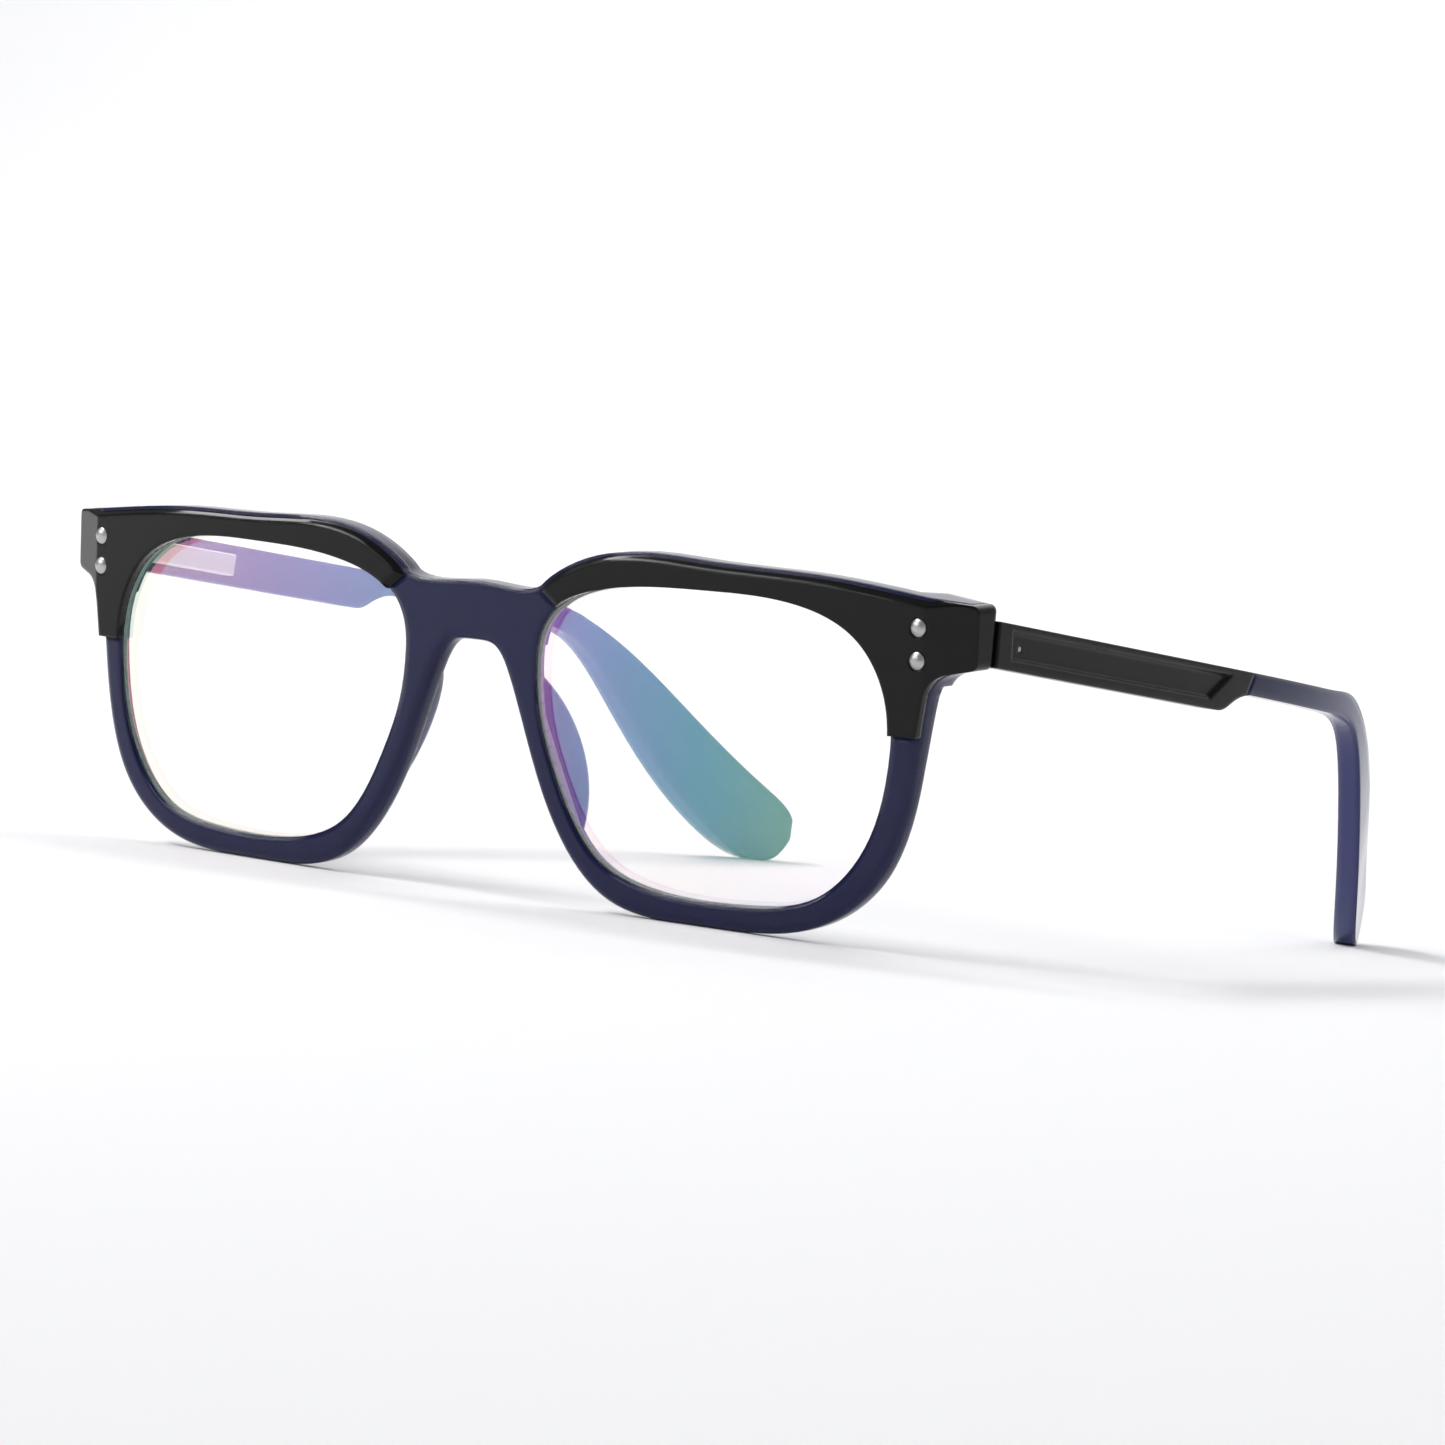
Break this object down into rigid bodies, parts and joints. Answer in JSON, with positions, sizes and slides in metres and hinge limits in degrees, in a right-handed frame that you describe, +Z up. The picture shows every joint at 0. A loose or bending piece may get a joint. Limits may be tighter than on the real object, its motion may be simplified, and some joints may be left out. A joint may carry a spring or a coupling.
{
  "type": "eyeglasses",
  "caption": "Square two-tone glasses with clear coated lenses, black brow pieces, riveted end pieces and folding spring-hinged temples.",
  "frame": {"origin": "middle of the bounding box seen from above, on the surface that the open glasses stand on", "axes": "+X to the wearer's left, +Y from the front towards the temple tips, +Z up, with the glasses standing on both rims and both temple tips"},
  "size_m": [0.1404, 0.139, 0.0439],
  "materials": {
    "navy_frame": "polished translucent navy",
    "black_plastic": "polished black",
    "coated_lens": "clear with blue-violet coating",
    "rivet_steel": "brushed",
    "hinge_metal": "satin nickel plated",
    "spring_wire": "drawn spring wire"
  },
  "bodies": {
    "front": {"front_frame": "navy_frame", "brow_left": "black_plastic", "lens_left": "coated_lens", "end_rivets_left": "rivet_steel", "hinge_leaf_left": "hinge_metal", "hinge_screw_left": "rivet_steel", "brow_right": "black_plastic", "lens_right": "coated_lens", "end_rivets_right": "rivet_steel", "hinge_leaf_right": "hinge_metal", "hinge_screw_right": "rivet_steel"},
    "tongue_left": {"spring_tongue_left": "hinge_metal", "tongue_nut_left": "hinge_metal", "hinge_spring_left": "spring_wire"},
    "temple_left": {"spring_box_left": "hinge_metal", "temple_rivet_left": "rivet_steel", "temple_arm_left": "navy_frame", "temple_cover_left": "black_plastic"},
    "tongue_right": {"spring_tongue_right": "hinge_metal", "tongue_nut_right": "hinge_metal", "hinge_spring_right": "spring_wire"},
    "temple_right": {"spring_box_right": "hinge_metal", "temple_rivet_right": "rivet_steel", "temple_arm_right": "navy_frame", "temple_cover_right": "black_plastic"}
  },
  "joints": [
    {"name": "temple_fold_left", "type": "hinge", "parent": "front", "child": "tongue_left", "pos_m": [0.0664, -0.05826, 0.03719], "axis": [0, -0.0223, 0.9998], "range_deg": [-6, 80]},
    {"name": "spring_slide_left", "type": "slide", "parent": "tongue_left", "child": "temple_left", "axis": [0, 0.998, -0.0632], "range_m": [0, 0.0012], "stiffness_N_per_m": 400, "deforming": ["hinge_spring_left"]},
    {"name": "temple_fold_right", "type": "hinge", "parent": "front", "child": "tongue_right", "pos_m": [-0.0664, -0.05826, 0.03719], "axis": [0, 0.0223, -0.9998], "range_deg": [-6, 67]},
    {"name": "spring_slide_right", "type": "slide", "parent": "tongue_right", "child": "temple_right", "axis": [0, 0.998, -0.0632], "range_m": [0, 0.0012], "stiffness_N_per_m": 400, "deforming": ["hinge_spring_right"]}
  ]
}
